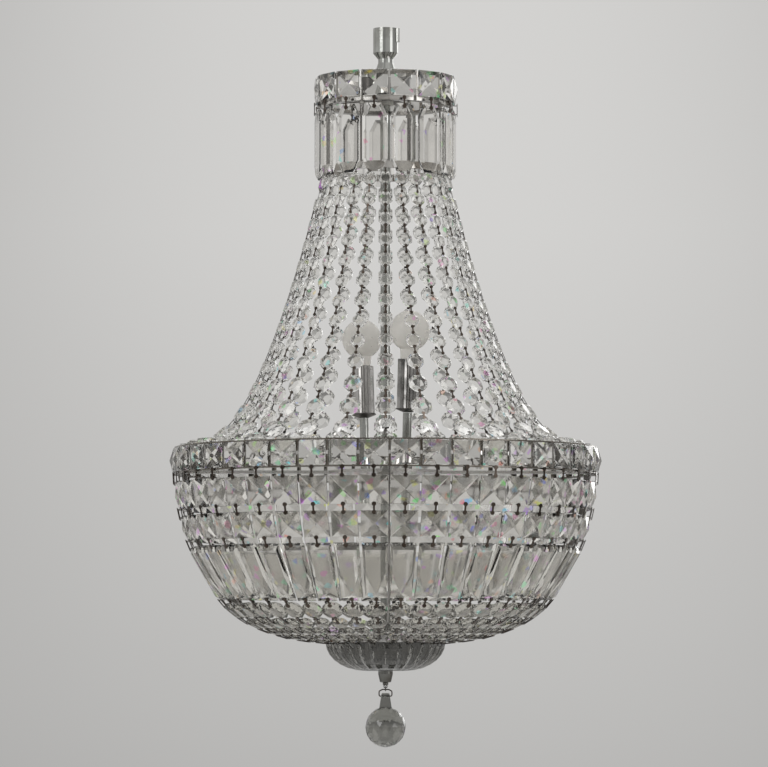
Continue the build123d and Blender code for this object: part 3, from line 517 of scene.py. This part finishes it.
# square crystal, 1 by 1 and 1 deep: narrow bevel, then four facets up to a tiny flat, both sides
squareCut = {"girdle": 0.1, "bevel": 0.012, "bevelRise": 0.04, "facet": 0.473, "facetRise": 0.41}
squareGlass = {"crown_crystals": "ringGlass", "main_ring_crystals": "ringGlass",
               "basket_squares_28": "cutGlass", "basket_squares_26": "cutGlass"}
bpy.ops.mesh.primitive_cube_add(size=1)
square = bpy.context.object
square.scale = (1, 1, squareCut["girdle"])
settle(square)
for side in (1, -1):
    pickFacing(square, (0, 0, side))
    bpy.ops.mesh.inset(thickness=squareCut["bevel"])
    bpy.ops.transform.translate(value=(0, 0, squareCut["bevelRise"] * side))
    bpy.ops.mesh.inset(thickness=squareCut["facet"])
    bpy.ops.transform.translate(value=(0, 0, squareCut["facetRise"] * side))
    leaveEdit()
faceOut(square)
for nodeName, finish in squareGlass.items():
    group = copiesAt(square, placesOf(nodeName), nodeName + "_cut")
    putFinish(group, finish)
    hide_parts(nodeName)
    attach(group, "root")
drop(square)
print("squares cut")

# tapered prism, 1 wide at its top, 1 long and 1 deep: the table runs down to a point
taper = {"girdle": 0.12, "rim": 0.09, "rise": 0.44, "shoulder": 0.36, "narrow": 0.84}
bpy.ops.mesh.primitive_cube_add(size=1)
prism = bpy.context.object
prism.scale = (1, 1, taper["girdle"])
settle(prism)
for side in (1, -1):
    pickFacing(prism, (0, 0, side))
    bpy.ops.mesh.inset(thickness=taper["rim"])
    bpy.ops.transform.translate(value=(0, 0, taper["rise"] * side))
    leaveEdit()


def atTableEnd(co):
    # the lower edge of either table
    return co.y < -0.35 and abs(co.z) > 0.3


# the lower edge of each table, then those of the girdle, get a point in their middle
pickEdges(prism, atTableEnd)
bpy.ops.mesh.subdivide(number_cuts=1)
leaveEdit()
pickEdges(prism, lambda co: co.y < -0.45)
bpy.ops.mesh.subdivide(number_cuts=1)
leaveEdit()
# the lower corners of each table move up, which leaves its point, and the sides draw in
pickPoints(prism, lambda co: atTableEnd(co) and abs(co.x) > 0.1)
bpy.ops.transform.translate(value=(0, taper["shoulder"], 0))
leaveEdit()
pickPoints(prism, lambda co: co.y < -0.2)
bpy.ops.transform.resize(value=(taper["narrow"], 1, 1), center_override=(0, 0, 0))
leaveEdit()
pickPoints(prism, lambda co: -0.2 < co.y < 0.1)
bpy.ops.transform.resize(value=((1 + taper["narrow"]) / 2, 1, 1), center_override=(0, 0, 0))
leaveEdit()
facet(prism)
group = copiesAt(prism, placesOf("basket_prisms"), "basket_prisms_cut")
putFinish(group, "prismGlass")
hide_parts("basket_prisms")
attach(group, "root")
drop(prism)
print("prisms cut")

# bar of the main ring, 1 by 1 and 1 deep, with a wider cover strip over the crystals' edges
strip = {"width": 4.4, "barWidth": 1.2, "thickness": 0.05, "waist": 0.75}
bpy.ops.mesh.primitive_cube_add(size=1)
bar = bpy.context.object
pickFacing(bar, (0, 0, 1))
bpy.ops.mesh.extrude_region_move(TRANSFORM_OT_translate={"value": (0, 0, 0)})
bpy.ops.transform.resize(value=(strip["width"] / strip["barWidth"], 1, 1))
bpy.ops.mesh.extrude_region_move(TRANSFORM_OT_translate={"value": (0, 0, strip["thickness"])})
leaveEdit()
# the strip's long edges get a point in their middle, and it is narrower there
pickEdges(bar, lambda co: co.z > 0.49 and abs(co.x) > 0.6)
bpy.ops.mesh.subdivide(number_cuts=1)
leaveEdit()
pickPoints(bar, lambda co: abs(co.y) < 0.1 and abs(co.x) > 0.6)
bpy.ops.transform.resize(value=(strip["waist"], 1, 1), center_override=(0, 0, 0))
leaveEdit()
faceOut(bar)
group = copiesAt(bar, placesOf("main_ring_bars", upright=True), "main_ring_bars_covered")
putFinish(group, "flangeChrome")
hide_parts("main_ring_bars")
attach(group, "root")
drop(bar)
print("ring bars covered")


# pin: a flat plate with an eight-sided lobe at each end, and a thin leg behind each lobe
mm = 0.001
clip = {"sides": 8, "length": 13.0, "width": 4.6, "sideShare": 0.414, "waist": 2.0, "plate": 0.7,
        "leg": 0.4, "legSides": 5, "lift": 3.0, "back": 1.0}
lobeSide = clip["width"] * clip["sideShare"]
lobeAt = clip["length"] / 2 - clip["width"] / 2
waistLength = lobeAt - clip["width"] / 2
legLength = clip["lift"] + clip["back"]
bpy.ops.mesh.primitive_cylinder_add(vertices=clip["sides"], radius=clip["width"] / 2 * mm,
                                    depth=clip["plate"] * mm, rotation=(0, 0, math.pi / clip["sides"]))
bowtie = bpy.context.object
settle(bowtie)
moveAll((0, lobeAt * mm, 0))
pickFacing(bowtie, (0, -1, 0))
bpy.ops.mesh.extrude_region_move(TRANSFORM_OT_translate={"value": (0, -waistLength * mm, 0)})
bpy.ops.transform.resize(value=(clip["waist"] / lobeSide, 1, 1))
bpy.ops.mesh.delete(type="FACE")
leaveEdit()
mirrored = bowtie.modifiers.new("mirror", "MIRROR")
mirrored.use_axis = (False, True, False)
mirrored.use_clip = True
applyAll(bowtie)
for side in (1, -1):
    bpy.ops.mesh.primitive_cylinder_add(vertices=clip["legSides"], radius=clip["leg"] * mm,
                                        depth=legLength * mm,
                                        location=(0, side * lobeAt * mm, -legLength / 2 * mm))
    leg = bpy.context.object
    leg.select_set(True)
    bowtie.select_set(True)
    bpy.context.view_layer.objects.active = bowtie
    bpy.ops.object.join()
moveAll((0, 0, clip["lift"] * mm))
faceOut(bowtie)

# widths, lengths and lifts are shares of the clip's. Those with a gain grow from the least share,
# by the gain for each metre further from the axis. The overlap is in mm, gap and ends are in metres
pinSizes = {
    "stringWidth": {"least": 0.7, "from": 0.06, "gain": 1.6},
    "stringLift": {"least": 0.75, "from": 0.08, "gain": 2.0},
    "shortest": 0.4, "overlap": 3.0, "smallGap": 0.005, "smallPin": (0.7, 0.5, 0.6), "stringsEnd": -0.43,
    "basketWidth": {"least": 0.7, "from": 0.1, "gain": 4.0}, "basketLength": 0.96, "basketLift": 1.15,
    "neckWidth": 0.6, "neckLift": 0.3, "neckEnd": -0.178, "crownWidth": 0.9,
}


def grown(reach, rule):
    return min(1.0, rule["least"] + max(0.0, reach - rule["from"]) * rule["gain"])


def pinSizing(size, matrix):
    # pins grow with the crystals: small at the neck, full size at the basket's top rows
    spot = matrix.translation
    reach = math.hypot(spot.x, spot.y)
    if spot.z > pinSizes["stringsEnd"]:
        width = grown(reach, pinSizes["stringWidth"])
        length = min(1.0, max(pinSizes["shortest"], (size[1] / mm + pinSizes["overlap"]) / clip["length"]))
        lift = grown(reach, pinSizes["stringLift"])
        if size[1] < pinSizes["smallGap"]:
            width, length, lift = pinSizes["smallPin"]
    else:
        width = grown(reach, pinSizes["basketWidth"])
        length = pinSizes["basketLength"]
        lift = pinSizes["basketLift"]
    if spot.z > pinSizes["neckEnd"]:
        # the crown's prisms hang in front of these
        width = pinSizes["neckWidth"]
        lift = pinSizes["neckLift"]
    return (width, length, lift)


def crownPinSizing(size, matrix):
    return (pinSizes["crownWidth"], size[1] / mm / clip["length"], 1)


for nodeName in ("strand_clips", "basket_clips"):
    group = copiesAt(bowtie, placesOf(nodeName), nodeName + "_bowties", pinSizing)
    putFinish(group, "clipMetal")
    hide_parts(nodeName)
    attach(group, "root")

# the crown's pins hold a prism each: the front of the plate lies at the CAD pin's outer end
crownPins = []
for matrix, size in placesOf("crown_prism_pins", upright=True):
    matrix = matrix @ Matrix.Translation((0, 0, size[2] / 2 - (clip["lift"] + clip["plate"] / 2) * mm))
    crownPins.append((matrix, size))
group = copiesAt(bowtie, crownPins, "crown_prism_pins_bowties", crownPinSizing)
putFinish(group, "clipMetal")
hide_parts("crown_prism_pins")
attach(group, "root")
drop(bowtie)
print("pins made")


# candle cover, 1 across and 1 long, its axis along y: narrow flutes all round, a thin wall
cover = {"flutes": 16, "hollow": 0.84, "wall": 0.05}
bpy.ops.mesh.primitive_cylinder_add(vertices=cover["flutes"] * 2, radius=0.5, depth=1,
                                    end_fill_type="NOTHING", rotation=(math.pi / 2, 0, 0))
fluted = bpy.context.object
settle(fluted)
halfFlute = math.pi / cover["flutes"]
pickPoints(fluted, lambda co: round(math.atan2(co.z, co.x) / halfFlute) % 2 == 1)
bpy.ops.transform.resize(value=(cover["hollow"], 1, cover["hollow"]), center_override=(0, 0, 0))
leaveEdit()
giveWall(fluted, cover["wall"])
group = copiesAt(fluted, placesOf("candle_covers"), "candle_covers_fluted")
putFinish(group, "coverChrome")
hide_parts("candle_covers")
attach(group, "root")
drop(fluted)
print("candle covers fluted")

# dish: a ring of points at the rim drawn down and in along a quarter ellipse, then flutes
dish = {"flutes": 28, "flat": 0.02, "hole": 0.0055, "hollow": 0.95, "wall": 0.003, "steps": 7,
        "fluteFrom": 0.0195, "lip": 0.001}
dishPoints = [v.co for v in cad["bottom_dish"].data.vertices]
rim = max(math.hypot(co.x, co.y) for co in dishPoints)
dishTop = max(co.z for co in dishPoints)
dishLow = min(co.z for co in dishPoints)
bpy.ops.mesh.primitive_circle_add(vertices=dish["flutes"] * 3, radius=rim, fill_type="NOTHING",
                                  location=(0, 0, dishTop))
bowl = bpy.context.object
bowl.name = "bottom_dish_fluted"
settle(bowl)
pickEdges(bowl, lambda co: True)
radius = rim
height = dishTop
for step in range(1, dish["steps"] + 1):
    angle = step * math.pi / 2 / dish["steps"]
    nextRadius = dish["flat"] + (rim - dish["flat"]) * math.cos(angle)
    nextHeight = dishTop - (dishTop - dishLow) * math.sin(angle)
    shrink = nextRadius / radius
    bpy.ops.mesh.extrude_region_move(TRANSFORM_OT_translate={"value": (0, 0, nextHeight - height)})
    bpy.ops.transform.resize(value=(shrink, shrink, 1), center_override=(0, 0, nextHeight))
    radius = nextRadius
    height = nextHeight
shrink = dish["hole"] / radius
bpy.ops.mesh.extrude_region_move(TRANSFORM_OT_translate={"value": (0, 0, 0)})
bpy.ops.transform.resize(value=(shrink, shrink, 1), center_override=(0, 0, height))
leaveEdit()
spacing = 2 * math.pi / (dish["flutes"] * 3)


def inHollow(co):
    # two of every three points round the bowl, between its lip and its flat middle
    onCrest = round(math.atan2(co.y, co.x) / spacing) % 3 == 0
    return not onCrest and math.hypot(co.x, co.y) > dish["fluteFrom"] and co.z < dishTop - dish["lip"]


pickPoints(bowl, inHollow)
bpy.ops.transform.resize(value=(dish["hollow"], dish["hollow"], 1), center_override=(0, 0, 0))
leaveEdit()
faceOut(bowl)
giveWall(bowl, dish["wall"])
putFinish(bowl, "dishGlass")
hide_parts("bottom_dish")
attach(bowl, "root")
print("dish fluted")

# ball of flat facets, its lug a tapered block with a hole for the bail's wire
ball = {"radius": 0.02015, "lugWide": 0.0148, "lugDeep": 0.0088, "lugTop": 0.53, "lugFoot": 1.55,
        "lugBevel": 0.0009, "hole": 0.0011, "holeDrop": 0.0032, "drill": 0.04}
ballLow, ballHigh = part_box("crystal_ball")
bpy.ops.mesh.primitive_ico_sphere_add(subdivisions=3, radius=ball["radius"],
                                      location=(0, 0, ballLow[2] + ball["radius"]))
sphere = bpy.context.object
sphere.name = "crystal_ball_cut"
settle(sphere)
lugFoot = ballLow[2] + ball["radius"] * ball["lugFoot"]
bpy.ops.mesh.primitive_cube_add(size=1, location=(0, 0, (lugFoot + ballHigh[2]) / 2))
lug = bpy.context.object
lug.scale = (ball["lugWide"], ball["lugDeep"], ballHigh[2] - lugFoot)
settle(lug)
pickFacing(lug, (0, 0, 1))
bpy.ops.transform.resize(value=(ball["lugTop"], ball["lugTop"], 1))
leaveEdit()
pickEdges(lug, lambda co: True)
bpy.ops.mesh.bevel(offset=ball["lugBevel"], segments=1)
leaveEdit()
faceOut(lug)
bpy.ops.mesh.primitive_cylinder_add(vertices=16, radius=ball["hole"], depth=ball["drill"],
                                    location=(0, 0, ballHigh[2] - ball["holeDrop"]),
                                    rotation=(0, math.pi / 2, 0))
drill = bpy.context.object
settle(drill)
combine(lug, drill, "DIFFERENCE")
combine(sphere, lug, "UNION")
faceOut(sphere)
putFinish(sphere, "ballGlass")
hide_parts("crystal_ball")
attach(sphere, "crystal_ball_body")
print("ball cut")


# floor of pale paper. It is low enough for views from up to 30 degrees below, and hides steeper ones
paper = {"size": 18, "height": -3.2, "rough": 0.9, "mottle": 3.0,
         "dark": (0.8, 0.8, 0.79, 1), "pale": (0.84, 0.84, 0.83, 1)}
bpy.ops.mesh.primitive_plane_add(size=paper["size"], location=(0, 0, paper["height"]))
floor = bpy.context.object
floor.name = "studioFloor"
floorMat = bpy.data.materials.new("floorPaper")
floorMat.use_nodes = True
tree = floorMat.node_tree
links = tree.links
floorShader = tree.nodes["Principled BSDF"]
floorShader.inputs["Roughness"].default_value = paper["rough"]
floorNoise = addNode(tree, "ShaderNodeTexNoise", (-500, 200))
floorNoise.inputs["Scale"].default_value = paper["mottle"]
floorMix = addNode(tree, "ShaderNodeMix", (-250, 200), data_type="RGBA")
floorMix.inputs["A"].default_value = paper["dark"]
floorMix.inputs["B"].default_value = paper["pale"]
links.new(floorNoise.outputs["Fac"], floorMix.inputs["Factor"])
links.new(floorMix.outputs["Result"], floorShader.inputs["Base Color"])
floor.data.materials.append(floorMat)

# light of the room: at each share of the way from straight down to straight up, how bright it is
lightFrom = [(0.0, 0.1), (0.3, 0.14), (0.42, 0.32), (0.49, 0.54), (0.55, 0.68), (0.66, 0.72), (0.76, 0.6),
             (0.86, 0.85), (1.0, 1.0)]
warmth = {"green": 0.99, "blue": 0.97}
# and sideways: broad paler and darker parts
sideways = {"stretch": (1.6, 1.6, 0.5), "scale": 1.5, "detail": 1.0, "from": 0.38, "to": 0.62,
            "darkest": 0.68, "palest": 1.2}
world = bpy.data.worlds.new("studio")
bpy.context.scene.world = world
world.use_nodes = True
tree = world.node_tree
links = tree.links
tree.nodes.clear()
worldOut = addNode(tree, "ShaderNodeOutputWorld", (700, 0))
coords = addNode(tree, "ShaderNodeTexCoord", (-700, 0))
direction = addNode(tree, "ShaderNodeSeparateXYZ", (-500, 100))
links.new(coords.outputs["Generated"], direction.inputs["Vector"])
heights = addNode(tree, "ShaderNodeValToRGB", (-280, 100))
upShare = addNode(tree, "ShaderNodeMapRange", (-400, -60))
upShare.inputs["From Min"].default_value = -1.0
links.new(direction.outputs["Z"], upShare.inputs["Value"])
links.new(upShare.outputs["Result"], heights.inputs["Fac"])
ramp = heights.color_ramp
for stop, (height, value) in zip(ramp.elements, (lightFrom[0], lightFrom[-1])):
    stop.position = height
    stop.color = (value, value, value, 1)
for height, value in lightFrom[1:-1]:
    stop = ramp.elements.new(height)
    stop.color = (value, value * warmth["green"], value * warmth["blue"], 1)
flat = addNode(tree, "ShaderNodeMapping", (-500, -320))
flat.inputs["Scale"].default_value = sideways["stretch"]
links.new(coords.outputs["Generated"], flat.inputs["Vector"])
room = addNode(tree, "ShaderNodeTexNoise", (-320, -320))
room.inputs["Scale"].default_value = sideways["scale"]
room.inputs["Detail"].default_value = sideways["detail"]
links.new(flat.outputs["Vector"], room.inputs["Vector"])
bands = addNode(tree, "ShaderNodeMapRange", (-140, -320))
bands.inputs["From Min"].default_value = sideways["from"]
bands.inputs["From Max"].default_value = sideways["to"]
bands.inputs["To Min"].default_value = sideways["darkest"]
bands.inputs["To Max"].default_value = sideways["palest"]
links.new(room.outputs["Fac"], bands.inputs["Value"])
mixed = addNode(tree, "ShaderNodeVectorMath", (-140, 0), operation="SCALE")
links.new(heights.outputs["Color"], mixed.inputs[0])
links.new(bands.outputs["Result"], mixed.inputs["Scale"])
around = addNode(tree, "ShaderNodeBackground", (60, 0))
links.new(mixed.outputs["Vector"], around.inputs["Color"])
around.inputs["Strength"].default_value = 1.0
links.new(around.outputs["Background"], worldOut.inputs["Surface"])

# soft lamps, turned to the chandelier's middle, and the camera
middle = Vector((0, 0, -0.35))
lamps = {
    "keyLight": {"at": (-2.2, -2.6, 1.2), "size": (1.8, 1.4), "power": 30},
    "fillLight": {"at": (2.6, -1.8, 0.2), "size": (1.4, 1.8), "power": 14},
    "topLight": {"at": (0.3, 0.4, 2.2), "size": (1.6, 1.6), "power": 24},
    "rimLight": {"at": (1.2, 2.6, 0.4), "size": (1.2, 1.8), "power": 14},
}
view = {"at": (-0.0015, -4.0, -0.6126), "aim": (-0.0015, 0, -0.3581), "lens": 187.5, "sensor": 36,
        "near": 0.1, "far": 60}
for name, look in lamps.items():
    bpy.ops.object.light_add(type="AREA", location=look["at"])
    lamp = bpy.context.object
    lamp.name = name
    lamp.data.shape = "RECTANGLE"
    lamp.data.size, lamp.data.size_y = look["size"]
    lamp.data.energy = look["power"]
    lamp.visible_transmission = False
    lamp.rotation_euler = (middle - Vector(look["at"])).to_track_quat("-Z", "Y").to_euler()

bpy.ops.object.camera_add(location=view["at"])
camera = bpy.context.object
camera.data.sensor_width = view["sensor"]
camera.data.lens = view["lens"]
camera.data.clip_start = view["near"]
camera.data.clip_end = view["far"]
aim = Vector(view["aim"]) - camera.location
camera.rotation_euler = aim.to_track_quat("-Z", "Y").to_euler()
bpy.context.scene.camera = camera
bpy.context.scene.view_settings.view_transform = "Standard"
print("stage set")
